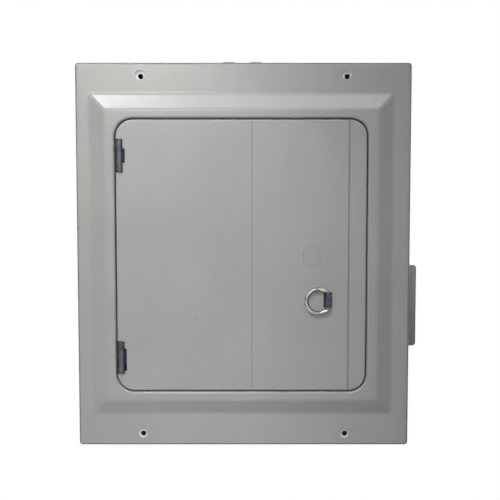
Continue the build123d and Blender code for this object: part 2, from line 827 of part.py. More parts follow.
def make_door():
    """The door: a flat pan with returned edges, two crease lines, a lock knockout, notches and latch slot."""
    with BuildPart() as door:
        with BuildSketch(front(door_face - door_return)):
            with Locations((panel_shift_x, panel_shift_z)):
                RectangleRounded(door_width, door_height, door_corner)
        extrude(amount=door_return)
        fillet(door.faces().sort_by(Axis.Y)[0].edges(), door_bend)
        offset(amount=-door_sheet, openings=door.faces().sort_by(Axis.Y)[-1])
        for inset, depth in ((crease_inset, crease_depth), (centre_crease_inset, centre_crease_depth)):
            x = door_right - inset
            with BuildSketch(level(panel_shift_z + door_height / 2)):
                with BuildLine():
                    Polyline(
                        (x - crease_width / 2, door_face),
                        (x + crease_width / 2, door_face),
                        (x, door_face - depth),
                        close=True,
                    )
                make_face()
            extrude(amount=door_height, mode=Mode.SUBTRACT)
        with BuildSketch(front(door_face)):
            with Locations((door_right - lock_inset, lock_z)):
                lock_outline(0)
                lock_outline(lock_groove, Mode.SUBTRACT)
        extrude(amount=-lock_groove_depth, mode=Mode.SUBTRACT)
        for place, z in hinge_places.items():
            notch_right = hinge_x + barrel_radius + notch_clearance
            notch_half = hinge_height / 2 + pin_head_height + notch_clearance
            with BuildSketch(front(door_face - door_return)):
                with Locations(((door_left - 1 + notch_right) / 2, z)):
                    Rectangle(notch_right - door_left + 1, 2 * notch_half)
                with Locations((notch_right + slot_reach / 2, z - slot_drops[place])):
                    Rectangle(slot_reach, slot_heights[place])
            extrude(amount=door_return, mode=Mode.SUBTRACT)
        with BuildSketch(front(door_back)):
            with Locations(((strap_left + latch_x + strap_radius) / 2, strap_z)):
                Rectangle(
                    latch_x + strap_radius - strap_left + 2 * latch_slot_clearance,
                    strap_height + 2 * latch_slot_clearance,
                )
        extrude(amount=door_sheet, mode=Mode.SUBTRACT)
    save(door, "door_panel")


def lock_outline(inset, mode=Mode.ADD):
    """The outline of the lock knockout, a circle with two flats, brought in by a distance."""
    with BuildSketch(mode=Mode.PRIVATE) as outline:
        Circle(lock_diameter / 2 - inset)
        Rectangle(lock_flats - 2 * inset, lock_diameter, mode=Mode.INTERSECT)
    add(outline.sketch, mode=mode)


def knuckle(z_low, z_high):
    """Adds one knuckle of a hinge between two heights."""
    with BuildSketch(Plane.XY.offset(z_low)) as ring:
        with Locations((hinge_x, -hinge_depth)):
            Circle(barrel_radius)
    extrude(ring.sketch, amount=z_high - z_low)


def pin_bore(z_low, z_high):
    """Cuts the bore for the pin through what has been built."""
    with BuildSketch(Plane.XY.offset(z_low)) as bore:
        with Locations((hinge_x, -hinge_depth)):
            Circle(pin_radius + pin_clearance)
    extrude(bore.sketch, amount=z_high - z_low, mode=Mode.SUBTRACT)


def make_hinges():
    """Both butt hinges: frame leaf on the rim, door leaf behind the door, and a headed pin."""
    for place, z in hinge_places.items():
        low = z - hinge_height / 2
        high = z + hinge_height / 2
        middle_low = z - middle_knuckle / 2
        middle_high = z + middle_knuckle / 2
        arm_top = hinge_depth - 1.3
        with BuildPart() as frame_leaf:
            block((opening_left, opening_left + leaf_sheet), (rim_back + 1, arm_top), (low, high))
            for z_range in ((low, low + outer_knuckle), (high - outer_knuckle, high)):
                block((opening_left, hinge_x), (arm_top - leaf_sheet, arm_top), z_range)
                knuckle(*z_range)
            pin_bore(low, high)
        save(frame_leaf, f"hinge_frame_leaf_{place}")
        with BuildPart() as door_leaf:
            notch_right = hinge_x + barrel_radius + notch_clearance
            block(
                (notch_right + slot_reach, hinge_x + door_leaf_reach),
                (door_back - leaf_sheet, door_back),
                (low, high),
            )
            block((hinge_x, notch_right + slot_reach), (door_back - leaf_sheet, door_back), (middle_low, middle_high))
            knuckle(middle_low, middle_high)
            pin_bore(low, high)
        save(door_leaf, f"hinge_door_leaf_{place}")
        with BuildPart() as pin:
            with BuildSketch(Plane.XY.offset(low)):
                with Locations((hinge_x, -hinge_depth)):
                    Circle(pin_radius)
            extrude(amount=hinge_height)
            for head in (low - pin_head_height, high):
                with BuildSketch(Plane.XY.offset(head)):
                    with Locations((hinge_x, -hinge_depth)):
                        Circle(pin_head_radius)
                extrude(amount=pin_head_height)
            fillet(pin.faces().sort_by(Axis.Z)[-1].edges(), pin_head_height / 2)
            fillet(pin.faces().sort_by(Axis.Z)[0].edges(), pin_head_height / 2)
        save(pin, f"hinge_pin_{place}")


def make_latch():
    """The latch: a strip whose strap comes through the door, round the ring, and whose end grips the rim."""
    inner = ring_wire + strap_clearance
    catch_x = opening_right - latch_nose_gap - latch_nose_radius
    foot_depth = door_back - strap_sheet
    bend_x = latch_x + latch_straight
    fall_x = catch_x - 4
    low_depth = door_back - latch_fall
    with BuildPart() as latch:
        with BuildSketch(level(strap_z)):
            with Locations((latch_x, ring_depth)):
                Circle(strap_radius)
            with Locations((latch_x, (foot_depth + ring_depth) / 2)):
                Rectangle(2 * strap_radius, ring_depth - foot_depth)
            with Locations((latch_x, ring_depth)):
                Circle(inner, mode=Mode.SUBTRACT)
            with Locations((latch_x, (foot_depth - 1 + ring_depth) / 2)):
                Rectangle(2 * inner, ring_depth - foot_depth + 1, mode=Mode.SUBTRACT)
            with Locations((strap_left + strap_sheet - latch_foot / 2, door_back - strap_sheet / 2)):
                Rectangle(latch_foot, strap_sheet)
            with BuildLine():
                Polyline(
                    (latch_x + inner, door_back),
                    (bend_x, door_back),
                    (fall_x, low_depth),
                    (catch_x, low_depth),
                    (catch_x, low_depth - strap_sheet),
                    (fall_x - 0.4, low_depth - strap_sheet),
                    (bend_x - 0.4, door_back - strap_sheet),
                    (latch_x + inner, door_back - strap_sheet),
                    close=True,
                )
            make_face()
            with Locations((catch_x, low_depth - strap_sheet / 2)):
                Circle(latch_nose_radius)
        extrude(amount=strap_height / 2, both=True)
    save(latch, "latch_spring")
    middle_x = latch_x - ring_chord
    lead = math.radians(ring_lead)
    arc_x = middle_x + ring_radius * math.sin(lead)
    arc_rise = ring_radius * math.cos(lead)
    side_rise = arc_rise - (latch_x - arc_x) * math.tan(lead)
    with BuildPart() as ring:
        with BuildLine(front(ring_depth)) as path:
            Polyline(
                (arc_x, ring_z + arc_rise),
                (latch_x, ring_z + side_rise),
                (latch_x, ring_z - side_rise),
                (arc_x, ring_z - arc_rise),
            )
            ThreePointArc(
                (arc_x, ring_z - arc_rise),
                (middle_x - ring_radius, ring_z),
                (arc_x, ring_z + arc_rise),
            )
            fillet(path.vertices().group_by(Axis.X)[-1], ring_corner)
        with BuildSketch(path.line ^ 0):
            Circle(ring_wire)
        sweep(path=path.line)
    save(ring, "latch_ring")


def make_breaker(side, z, number):
    """One plug-in breaker: its case, its handle and its terminal screw, on one side of the middle."""
    def at(x):
        return side * (breaker_inner + x)

    nose_end = breaker_nose_start + breaker_nose_length
    slope_top = breaker_length - terminal_inset - 2
    wire_top = breaker_base_depth + breaker_wire_end
    pocket_half = handle_width / 2 + handle_side_clearance
    pocket_radius = hub_radius + hub_clearance
    pivot_x = side * handle_x
    terminal_x = at(breaker_length - terminal_inset)
    swing = math.radians(handle_swing)
    nose_rise = nose_top - pivot_depth
    mouth = nose_rise * math.tan(swing) + handle_thickness / 2 / math.cos(swing) + hub_clearance
    with BuildPart() as case:
        with BuildSketch(level(z)):
            with BuildLine():
                Polyline(
                    (at(0), breaker_base_depth),
                    (at(0), breaker_top),
                    (at(breaker_nose_start), breaker_top),
                    (at(breaker_nose_start), nose_top),
                    (at(nose_end), nose_top),
                    (at(nose_end), breaker_top),
                    (at(slope_top), breaker_top),
                    (at(breaker_length), wire_top),
                    (at(breaker_length), breaker_base_depth),
                    close=True,
                )
            make_face()
        extrude(amount=breaker_width / 2, both=True)
        fillet(case.faces().filter_by(Axis.Y).sort_by(Axis.Y)[0].edges(), breaker_edge)
        with BuildSketch(level(z)):
            with Locations((at(stab_slot_length / 2), breaker_base_depth + stab_slot_height / 2)):
                Rectangle(stab_slot_length, stab_slot_height)
        extrude(amount=stab_slot_width / 2, both=True, mode=Mode.SUBTRACT)
        with BuildSketch(level(z)):
            with Locations(
                (
                    at(breaker_length - hook_slot_length / 2),
                    breaker_base_depth + (hook_slot_low + hook_slot_high) / 2,
                )
            ):
                Rectangle(hook_slot_length, hook_slot_high - hook_slot_low)
        extrude(amount=breaker_width / 2, both=True, mode=Mode.SUBTRACT)
        with BuildSketch(level(z)):
            with Locations((pivot_x, pivot_depth)):
                Circle(pocket_radius)
            with Locations((pivot_x, (pivot_depth + nose_top) / 2)):
                Rectangle(2 * mouth, nose_rise)
        extrude(amount=pocket_half, both=True, mode=Mode.SUBTRACT)
        with BuildSketch(front(breaker_top - terminal_recess)):
            with Locations((terminal_x, z)):
                Circle(terminal_radius + 2 * screw_clearance)
        extrude(amount=terminal_recess + 1, mode=Mode.SUBTRACT)
    save(case, f"breaker_case_{number}")
    with BuildPart() as handle:
        with BuildSketch(level(z)):
            with Locations((pivot_x, pivot_depth)):
                Circle(hub_radius)
                with Locations(Location((0, handle_reach / 2, 0))):
                    Rectangle(handle_thickness, handle_reach)
        extrude(amount=handle_width / 2, both=True)
        fillet(handle.faces().filter_by(Axis.Y).sort_by(Axis.Y)[0].edges(), handle_round)
    turned = handle.part.rotate(
        Axis((pivot_x, -pivot_depth, z), (0, 0, 1)), -side * handle_swing
    )
    turned.label = f"breaker_handle_{number}"
    export_step(turned, f"parts/breaker_handle_{number}.step")
    return terminal_x


def make_breakers():
    """Every breaker in its place, numbered across each row from the top."""
    places = []
    number = 1
    for z in row_z[:filled_rows]:
        for side in (-1, 1):
            places.append((make_breaker(side, z, number), z))
            number += 1
    bottom = breaker_top - terminal_recess
    with BuildPart() as screws:
        with BuildSketch(front(bottom)):
            with Locations(*places):
                Circle(terminal_radius)
        extrude(amount=2.8)
        fillet(screws.faces().filter_by(Axis.Y).group_by(Axis.Y)[0].edges(), 0.5)
        cross_recess(places, bottom + 2.8, terminal_radius)
    save(screws, "breaker_terminal_screws")


os.makedirs("parts", exist_ok=True)
make_box()
make_flange()
make_pan()
make_support()
make_bus(-1, "line_bus_left")
make_bus(1, "line_bus_right")
make_lug(-1, "main_lug_left")
make_lug(1, "main_lug_right")
make_lug_screws()
make_bars()
make_cover()
make_dead_front()
make_door()
make_hinges()
make_latch()
make_breakers()
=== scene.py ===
"""Dresses the distribution board: baked enamel, galvanised sheet, plated hinges and the moulded breakers.

The board's own frame is kept: +Z is up, the wall is at y = 0 and the door faces -Y. Metres.
"""

import math

import bpy
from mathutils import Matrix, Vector

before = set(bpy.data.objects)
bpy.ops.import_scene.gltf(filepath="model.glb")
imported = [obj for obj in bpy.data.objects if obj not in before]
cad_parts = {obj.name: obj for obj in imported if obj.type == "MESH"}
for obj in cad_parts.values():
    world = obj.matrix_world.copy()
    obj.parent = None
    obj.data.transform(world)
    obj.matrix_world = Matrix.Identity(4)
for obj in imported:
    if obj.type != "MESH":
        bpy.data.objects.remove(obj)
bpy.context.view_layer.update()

MM = 0.001

# Camera: a long lens, a little above the middle of the cover and looking slightly down
IMAGE_PIXELS = 500
FOCAL_PIXELS = 1201.2
SENSOR_WIDTH = 36.0
NEAR_CLIP = 0.05
FAR_CLIP = 50
CAMERA_DISTANCE = 1.1
CAMERA_TILT = math.radians(5.45)
COVER_FACE_DEPTH = 93.2 * MM
AIM = (5.98 * MM, -COVER_FACE_DEPTH, 6.14 * MM)

# Surroundings: faint light from all round, and a floor far below the board
WORLD_LEVEL = 0.03
FLOOR_HEIGHT = -1.3
FLOOR_SIZE = 8.0

# The spot, whose cone is stretched along the board's height
SPOT_PLACE = (-0.22, -1.50, 0.42)
SPOT_AIM = (-0.085, -0.09, 0.01)
SPOT_RADIUS = 0.10
SPOT_POWER = 28.8
SPOT_COLOUR = (1.0, 0.99, 0.955)
SPOT_CONE = math.radians(20)
SPOT_BLEND = 0.9
SPOT_STRETCH = 1.9

# Soft flat lamps, with the width and height of their panels
SURROUND = {"target": (0, 0, 0), "size": (1.0, 1.0), "power": 9.0}
PANELS = {
    "window": {
        "place": (-0.51, -1.01, 1.43),
        "target": (-0.12, -0.09, 0.1),
        "size": (0.46, 0.34),
        "power": 0.86,
        "spread": math.radians(34),
    },
    "ceiling_panel": {
        "place": (0.50, -1.01, 1.43),
        "target": (0.1, -0.09, 0.1),
        "size": (1.0, 0.36),
        "power": 5.6,
        "colour": (0.88, 0.94, 1.0),
    },
    "left_panel": {"place": (-1.4, 1.1, 0.3), **SURROUND},
    "right_panel": {"place": (1.4, 1.1, 0.3), **SURROUND},
    "back_panel": {"place": (0.0, 1.7, 0.5), **SURROUND},
    "sill_lamp": {
        "place": (-0.04, -1.20, -0.62),
        "target": (-0.02, -0.09, -0.165),
        "size": (0.34, 0.10),
        "power": 0.025,
        "colour": (0.86, 0.93, 1.0),
        "spread": math.radians(30),
    },
    "low_panel": {
        "place": (-0.30, -0.65, -1.0),
        "target": (-0.03, -0.09, -0.15),
        "size": (0.8, 0.4),
        "power": 2.0,
        "colour": (0.94, 0.97, 1.0),
    },
}

# Places on the board that its finishes follow
LOCK_CENTRE = (62.2 * MM, 0.7 * MM)
LOCK_FLAT = 1.45 * MM
RING_CENTRE = (68.1 * MM, -39.85 * MM)
# The ring gets painted shade inside these radii
RING_SHADE_FULL = 9.6 * MM
RING_SHADE_END = 10.5 * MM
# Where the hinges' webs get painted shade in their slots
HINGE_SLOT_EDGE = -107.2 * MM
HINGE_WEB_FRONT = -100.1 * MM
HINGE_WEB_DARK = -99.5 * MM
# The front faces of the tabs behind the cover's holes get painted light, near white
TAB_FACE = -91.2 * MM
TAB_LIGHT_FULL = TAB_FACE + 0.2 * MM
TAB_LIGHT_END = TAB_FACE + 0.8 * MM
HOOK_FOOT = 173.5 * MM
FLANGE_EDGE = 162.2 * MM
# Where the flange gets painted shade: along its rim and towards its foot
FLANGE_RIM_WIDTH = 1.4 * MM
FLANGE_SHADE_TOP = -20 * MM
FLANGE_SHADE_FOOT = -80 * MM

# Bands of painted shade and a painted highlight: where they begin, are full, begin to fade and end, behind
# the cover's face or round the lock
BEND_SHADE_BAND = (0.05 * MM, 0.45 * MM, 2.2 * MM, 4.2 * MM)
LOCK_GROOVE_BAND = (8.3 * MM, 8.8 * MM, 9.4 * MM, 9.9 * MM)
LOCK_HIGHLIGHT_BAND = (9.3 * MM, 9.6 * MM, 10.0 * MM, 10.5 * MM)

# Creases of the door: place across it, half width and weight
CREASES = (
    (95.9 * MM, 0.8 * MM, 0.5),
    (7.7 * MM, 0.7 * MM, 0.24),
)

# Small marks: x, z, half width and half height in millimetres, and weight
COVER_CHIP = (-151.5, 26.0, 1.2, 2.6, 0.8)
DOOR_SCUFFS = (
    (-11.3, 77.8, 0.9, 0.5, 0.5),
    (-44.0, -56.7, 0.7, 0.8, 0.5),
    (-85.0, 23.0, 2.2, 0.7, 0.22),
    (-58.0, 96.0, 1.6, 0.5, 0.25),
    (36.0, -88.0, 1.4, 0.6, 0.25),
    (84.0, 62.0, 0.6, 1.6, 0.25),
)


def srgb(red, green, blue):
    """A linear colour from the 0 to 255 values that a screen shows."""
    def linear(value):
        value /= 255
        return value / 12.92 if value <= 0.04045 else ((value + 0.055) / 1.055) ** 2.4

    return (linear(red), linear(green), linear(blue), 1.0)


WHITE = (1, 1, 1, 1)
PALE_FLOOR = srgb(232, 232, 230)
ENAMEL_DARK = srgb(163, 164, 161)
ENAMEL_LIGHT = srgb(168, 169, 166)
ENAMEL_STREAK = srgb(158, 159, 157)
DUST_SPECK = srgb(108, 104, 98)
# painted shade along the cover's outer bend
COVER_BEND_SHADE = srgb(84, 85, 86)
CHIPPED_PAINT = srgb(96, 92, 88)
CREASE_SHADE = srgb(98, 96, 94)
# painted shade in the lock knockout's groove, and a painted highlight on its rim
LOCK_GROOVE_SHADE = srgb(104, 104, 102)
LOCK_RIM_HIGHLIGHT = srgb(208, 208, 206)
SCUFFED_PAINT = srgb(98, 94, 90)
ZINC_DARK = srgb(166, 168, 171)
ZINC_LIGHT = srgb(204, 205, 206)
ZINC_DULL = srgb(158, 157, 154)
# painted shade on the hooks above the box
HOOK_SHADE = srgb(132, 132, 132)
# painted light on the tab faces
TAB_LIT_WHITE = srgb(250, 250, 250)
FLANGE_DARK = srgb(152, 146, 152)
FLANGE_LIGHT = srgb(172, 167, 172)
FLANGE_GRAIN = srgb(134, 131, 136)
# painted shade towards the flange's foot and along its rim
FLANGE_SHADE = srgb(108, 102, 102)
FLANGE_RIM_SHADE = srgb(78, 76, 80)
# painted shade on the ring's inner side
RING_INNER_SHADE = srgb(44, 39, 36)
# painted shade on the hinges' webs in their slots
HINGE_SLOT_SHADE = srgb(22, 23, 26)
MOULDING_DUST = srgb(120, 118, 114)


class Signal:
    """A number that varies over a surface: a socket that Python's own arithmetic works on."""

    def __init__(self, nodes, socket):
        self.nodes = nodes
        self.socket = socket

    def __add__(self, other):
        return self.nodes.maths("ADD", self, other)

    __radd__ = __add__

    def __mul__(self, other):
        return self.nodes.maths("MULTIPLY", self, other)

    __rmul__ = __mul__

    def __sub__(self, other):
        return self.nodes.maths("SUBTRACT", self, other)

    def __rsub__(self, other):
        return self.nodes.maths("SUBTRACT", other, self)

    def __gt__(self, other):
        return self.nodes.maths("GREATER_THAN", self, other)

    def __lt__(self, other):
        return self.nodes.maths("LESS_THAN", self, other)

    def ease(self, low, high):
        """0 below low, 1 above high and a smooth rise between them."""
        node = self.nodes.node(
            "ShaderNodeMapRange",
            {"interpolation_type": "SMOOTHSTEP"},
            {"Value": self, "From Min": low, "From Max": high},
        )
        return Signal(self.nodes, node.outputs[0])

    def band(self, start, full, fade, end):
        """1 between full and fade, 0 outside start and end, and smooth between them."""
        return self.ease(start, full) * (1.0 - self.ease(fade, end))


class Nodes:
    """An emptied node tree and the ways to fill it."""

    def __init__(self, tree):
        self.tree = tree
        self.tree.nodes.clear()

    def node(self, kind, settings=None, inputs=None):
        """A node of a kind, with its settings made first and then the values or links of its inputs."""
        node = self.tree.nodes.new(kind)
        for key, value in (settings or {}).items():
            setattr(node, key, value)
        for key, value in (inputs or {}).items():
            self.feed(node.inputs[key], value)
        return node

    def feed(self, socket, value):
        """Puts a value into a socket, or links a signal or another socket to it."""
        if isinstance(value, Signal):
            value = value.socket
        if isinstance(value, bpy.types.NodeSocket):
            self.tree.links.new(value, socket)
        else:
            socket.default_value = value

    def maths(self, operation, *values):
        """A signal made by any one operation of a Math node."""
        node = self.node("ShaderNodeMath", {"operation": operation}, dict(enumerate(values)))
        return Signal(self, node.outputs[0])

    def seen_plainly(self):
        """1 where a ray comes from the camera, off a mirror or through glass, and 0 for other light."""
        path = self.node("ShaderNodeLightPath")
        camera, mirror, glass = (
            Signal(self, path.outputs[f"Is {kind} Ray"]) for kind in ("Camera", "Glossy", "Transmission")
        )
        return self.maths("MAXIMUM", camera, self.maths("MAXIMUM", mirror, glass))


class Finish(Nodes):
    """One material: a shader and the nodes that feed it, on the object's own coordinates in metres."""

    def __init__(self, name):
        self.material = bpy.data.materials.new(name)
        self.material.use_nodes = True
        super().__init__(self.material.node_tree)
        self.shader = self.node("ShaderNodeBsdfPrincipled")
        self.output = self.node("ShaderNodeOutputMaterial", None, {0: self.shader.outputs[0]})
        self.place = self.node("ShaderNodeTexCoord").outputs["Object"]

    def set(self, **values):
        """Sets or links the shader's sockets, named with underscores for spaces."""
        for name, value in values.items():
            self.feed(self.shader.inputs[name.replace("_", " ")], value)
        return self

    def scaled_place(self, scale, offset=(0, 0, 0)):
        """The surface's coordinates, scaled and then moved."""
        inputs = {"Vector": self.place, "Location": offset, "Scale": scale}
        return self.node("ShaderNodeMapping", None, inputs).outputs[0]

    def noise(self, size, detail, roughness=0.5, stretch=(1, 1, 1)):
        """Cloudy noise whose lumps are about the given size in metres, from 0 to 1."""
        place = self.scaled_place(tuple(part / size for part in stretch))
        inputs = {"Vector": place, "Scale": 1.0, "Detail": detail, "Roughness": roughness}
        return Signal(self, self.node("ShaderNodeTexNoise", None, inputs).outputs[0])

    def cells(self, size, output="Distance", offset=(0, 0, 0)):
        """Cell noise with cells about the given size in metres."""
        place = self.scaled_place((1 / size, 1 / size, 1 / size), offset)
        node = self.node("ShaderNodeTexVoronoi", {"feature": "F1"}, {"Vector": place, "Scale": 1.0})
        return Signal(self, node.outputs[output])

    def axis(self, name):
        """One coordinate of the surface, in metres."""
        split = self.node("ShaderNodeSeparateXYZ", None, {0: self.place})
        return Signal(self, split.outputs[name])

    def distance(self, x, z):
        """How far the surface is from a point of the front, in metres."""
        across = self.axis("X") - x
        up = self.axis("Z") - z
        return self.maths("SQRT", across * across + up * up)

    def round_spot(self, x, z, width, height):
        """1 inside a ragged oval mark on the front, all in millimetres, and 0 outside it."""
        across = (self.axis("X") - x * MM) * (1 / (width * MM))
        up = (self.axis("Z") - z * MM) * (1 / (height * MM))
        ragged = self.noise(size=1.5 * MM, detail=3.0, roughness=0.6)
        return 1.0 - (across * across + up * up + ragged * 0.8).ease(0.7, 1.5)

    def blend(self, amount, first, second):
        """A colour that goes from the first to the second with an amount."""
        node = self.node("ShaderNodeMix", {"data_type": "RGBA", "clamp_factor": True}, {"Factor": amount})
        colours = [socket for socket in node.inputs if socket.type == "RGBA"]
        self.feed(colours[0], first)
        self.feed(colours[1], second)
        return next(socket for socket in node.outputs if socket.type == "RGBA")

    def bump(self, height, distance, strength, normal=None):
        """A normal bent by a height signal, in metres where the signal is 1."""
        inputs = {"Height": height, "Distance": distance, "Strength": strength}
        if normal is not None:
            inputs["Normal"] = normal
        return self.node("ShaderNodeBump", None, inputs).outputs[0]


def dress(finish, *nodes):
    """Gives the CAD nodes a finish."""
    for name in nodes:
        piece = bpy.data.objects[name]
        if not piece.material_slots:
            piece.data.materials.append(finish.material)
        for slot in piece.material_slots:
            slot.material = finish.material


def nodes_named(start):
    """The CAD nodes whose names have the same start, such as all the breakers' cases."""
    return [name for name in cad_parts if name.startswith(start)]


def enamel(name, marks=None):
    """Baked grey enamel: semi-gloss, with a fine orange peel, faint clouding, a few specks and marks."""
    paint = Finish(name)
    clouding = paint.noise(size=90 * MM, detail=3.0)
    streaks = paint.noise(size=26 * MM, detail=4.0, roughness=0.6, stretch=(1.0, 1.0, 0.45))
    tone = paint.blend(clouding.ease(0.35, 0.65), ENAMEL_DARK, ENAMEL_LIGHT)
    tone = paint.blend(streaks.ease(0.4, 0.75) * 0.35, tone, ENAMEL_STREAK)
    specks = paint.cells(size=17 * MM) < 0.022
    tone = paint.blend(specks * 0.7, tone, DUST_SPECK)
    if marks:
        tone = marks(paint, tone)
    peel = paint.noise(size=1.7 * MM, detail=2.0)
    waves = paint.noise(size=60 * MM, detail=1.0)
    rub = paint.noise(size=14 * MM, detail=4.0, roughness=0.6)
    wavy = paint.bump(waves, distance=0.35 * MM, strength=0.6)
    return paint.set(
        Base_Color=tone,
        Roughness=rub.ease(0.3, 0.8) * 0.07 + 0.29,
        Normal=paint.bump(peel, distance=0.022 * MM, strength=0.7, normal=wavy),
    )


def cover_marks(paint, tone):
    """Painted shade along the cover's outer bend, and a small chip on its left side."""
    edge = paint.axis("Y").band(*[step - COVER_FACE_DEPTH for step in BEND_SHADE_BAND])
    tone = paint.blend(edge * 0.75, tone, COVER_BEND_SHADE)
    *oval, weight = COVER_CHIP
    return paint.blend(paint.round_spot(*oval) * weight, tone, CHIPPED_PAINT)


def door_marks(paint, tone):
    """The door's marks: painted shade in the two creases, painted shade and a painted highlight round the
    lock knockout's rim, and a few small scuffs.
    """
    across = paint.axis("X")
    for x, half_width, weight in CREASES:
        groove = 1.0 - paint.maths("ABSOLUTE", across - x).ease(half_width * 0.5, half_width * 1.4)
        tone = paint.blend(groove * weight, tone, CREASE_SHADE)
    side = paint.maths("ABSOLUTE", across - LOCK_CENTRE[0]) + LOCK_FLAT
    radius = paint.maths("MAXIMUM", paint.distance(*LOCK_CENTRE), side)
    # patchy noise that breaks up the lock's painted shade and painted highlight
    patchiness = paint.noise(size=11 * MM, detail=3.0, roughness=0.6)
    rim = radius.band(*LOCK_GROOVE_BAND) * (0.4 + 0.6 * patchiness.ease(0.35, 0.6))
    tone = paint.blend(rim * 0.55, tone, LOCK_GROOVE_SHADE)
    glint = radius.band(*LOCK_HIGHLIGHT_BAND) * patchiness.ease(0.4, 0.6)
    tone = paint.blend(glint * 0.6, tone, LOCK_RIM_HIGHLIGHT)
    for *oval, weight in DOOR_SCUFFS:
        tone = paint.blend(paint.round_spot(*oval) * weight, tone, SCUFFED_PAINT)
    return tone


def galvanised():
    """Hot-dipped sheet: crystals of zinc, each with its own brightness, hooks darkened with painted shade,
    and tab faces painted near white and not metallic as painted light.
    """
    sheet = Finish("galvanised_sheet")
    crystal = sheet.cells(size=9 * MM, output="Color")
    fine = sheet.cells(size=3.5 * MM, output="Color", offset=(3, 7, 1))
    dull = sheet.noise(size=35 * MM, detail=4.0, roughness=0.6)
    tone = sheet.blend(crystal * 0.7 + fine * 0.3, ZINC_DARK, ZINC_LIGHT)
    tone = sheet.blend(dull.ease(0.5, 0.8) * 0.4, tone, ZINC_DULL)
    height = sheet.axis("Z")
    # the tab faces that get the painted light
    tabs = (1.0 - sheet.axis("Y").ease(TAB_LIGHT_FULL, TAB_LIGHT_END)) * (height < HOOK_FOOT)
    # painted shade on the hooks above the box
    tone = sheet.blend((height > HOOK_FOOT) * 0.8, tone, HOOK_SHADE)
    return sheet.set(
        Base_Color=sheet.blend(tabs, tone, TAB_LIT_WHITE),
        Metallic=(1.0 - tabs) * 0.35,
        Roughness=crystal * 0.12 + dull * 0.12 + 0.34,
        Normal=sheet.bump(crystal + fine * 0.5, distance=0.02 * MM, strength=0.5),
    )


def flange_sheet():
    """The plated sheet of the side flange: a little purple, with painted shade that darkens it towards its
    foot and at its rim.
    """
    sheet = Finish("passivated_sheet")
    cloud = sheet.noise(size=22 * MM, detail=4.0, roughness=0.6)
    grain = sheet.noise(size=0.9 * MM, detail=2.0, roughness=0.6, stretch=(1.0, 1.0, 0.12))
    tone = sheet.blend(cloud.ease(0.3, 0.7), FLANGE_DARK, FLANGE_LIGHT)
    tone = sheet.blend(grain.ease(0.45, 0.7) * 0.3, tone, FLANGE_GRAIN)
    foot = sheet.axis("Z").ease(FLANGE_SHADE_TOP, FLANGE_SHADE_FOOT)
    tone = sheet.blend(foot * 0.6, tone, FLANGE_SHADE)
    rim = sheet.axis("X").ease(FLANGE_EDGE - FLANGE_RIM_WIDTH, FLANGE_EDGE)
    return sheet.set(
        Base_Color=sheet.blend(rim * 0.6, tone, FLANGE_RIM_SHADE),
        Metallic=0.3,
        Roughness=cloud * 0.12 + 0.42,
        Normal=sheet.bump(grain, distance=0.008 * MM, strength=0.5),
    )


def ring_marks(metal, tone):
    """Painted shade on the inner side of the ring."""
    inner = 1.0 - metal.distance(*RING_CENTRE).ease(RING_SHADE_FULL, RING_SHADE_END)
    return metal.blend(inner * 0.9, tone, RING_INNER_SHADE)


def hinge_marks(metal, tone):
    """The web of a hinge in its slot, behind the door's face, made near black with painted shade."""
    web = metal.axis("Y").ease(HINGE_WEB_FRONT, HINGE_WEB_DARK) * (metal.axis("X") < HINGE_SLOT_EDGE)
    return metal.blend(web * 0.85, tone, HINGE_SLOT_SHADE)


def plated(name, dark, light, roughness, marks=None, metallic=0.9):
    """Plated or bare metal of small parts: fine drawn lines, faint stains and the piece's own marks."""
    metal = Finish(name)
    grain = metal.noise(size=0.5 * MM, detail=3.0, roughness=0.6, stretch=(1.0, 1.0, 0.2))
    stain = metal.noise(size=7 * MM, detail=4.0, roughness=0.65)
    tone = metal.blend(stain.ease(0.35, 0.7), dark, light)
    tone = metal.blend(grain.ease(0.5, 0.8) * 0.25, tone, dark)
    if marks:
        tone = marks(metal, tone)
    return metal.set(
        Base_Color=tone,
        Metallic=metallic,
        Roughness=stain * 0.14 + grain * 0.08 + roughness,
        Normal=metal.bump(grain, distance=0.006 * MM, strength=0.5),
    )


def moulded(name, dark, light, roughness):
    """Moulded plastic: a spark-eroded grain, faint flow marks and a little dust."""
    plastic = Finish(name)
    grain = plastic.noise(size=0.35 * MM, detail=2.0, roughness=0.6)
    flow = plastic.noise(size=16 * MM, detail=3.0)
    dust = plastic.noise(size=4 * MM, detail=5.0, roughness=0.7)
    tone = plastic.blend(flow.ease(0.35, 0.7), dark, light)
    return plastic.set(
        Base_Color=plastic.blend(dust.ease(0.62, 0.8) * 0.12, tone, MOULDING_DUST),
        Roughness=flow * 0.1 + dust * 0.08 + roughness,
        Normal=plastic.bump(grain, distance=0.02 * MM, strength=0.6),
    )


def white_ground():
    """The pale floor, which is plain white to the camera, in mirrors and through glass."""
    ground = Finish("pale_floor").set(Base_Color=PALE_FLOOR, Roughness=0.9)
    white = ground.node("ShaderNodeEmission", None, {"Color": WHITE, "Strength": 1.0})
    shaders = {0: ground.seen_plainly(), 1: ground.shader.outputs[0], 2: white.outputs[0]}
    mixed = ground.node("ShaderNodeMixShader", None, shaders)
    ground.feed(ground.output.inputs[0], mixed.outputs[0])
    return ground


def make_floor():
    """A plain floor, far below a board that hangs on a wall."""
    for thing in bpy.context.selected_objects:
        thing.select_set(False)
    bpy.ops.mesh.primitive_plane_add(size=FLOOR_SIZE, location=(0, 0, 0))
    floor = bpy.context.object
    floor.name = "floor"
    bpy.ops.object.mode_set(mode="EDIT")
    bpy.ops.transform.translate(value=(0, 0, FLOOR_HEIGHT))
    bpy.ops.object.mode_set(mode="OBJECT")
    floor.data.materials.append(white_ground().material)
    floor.select_set(False)


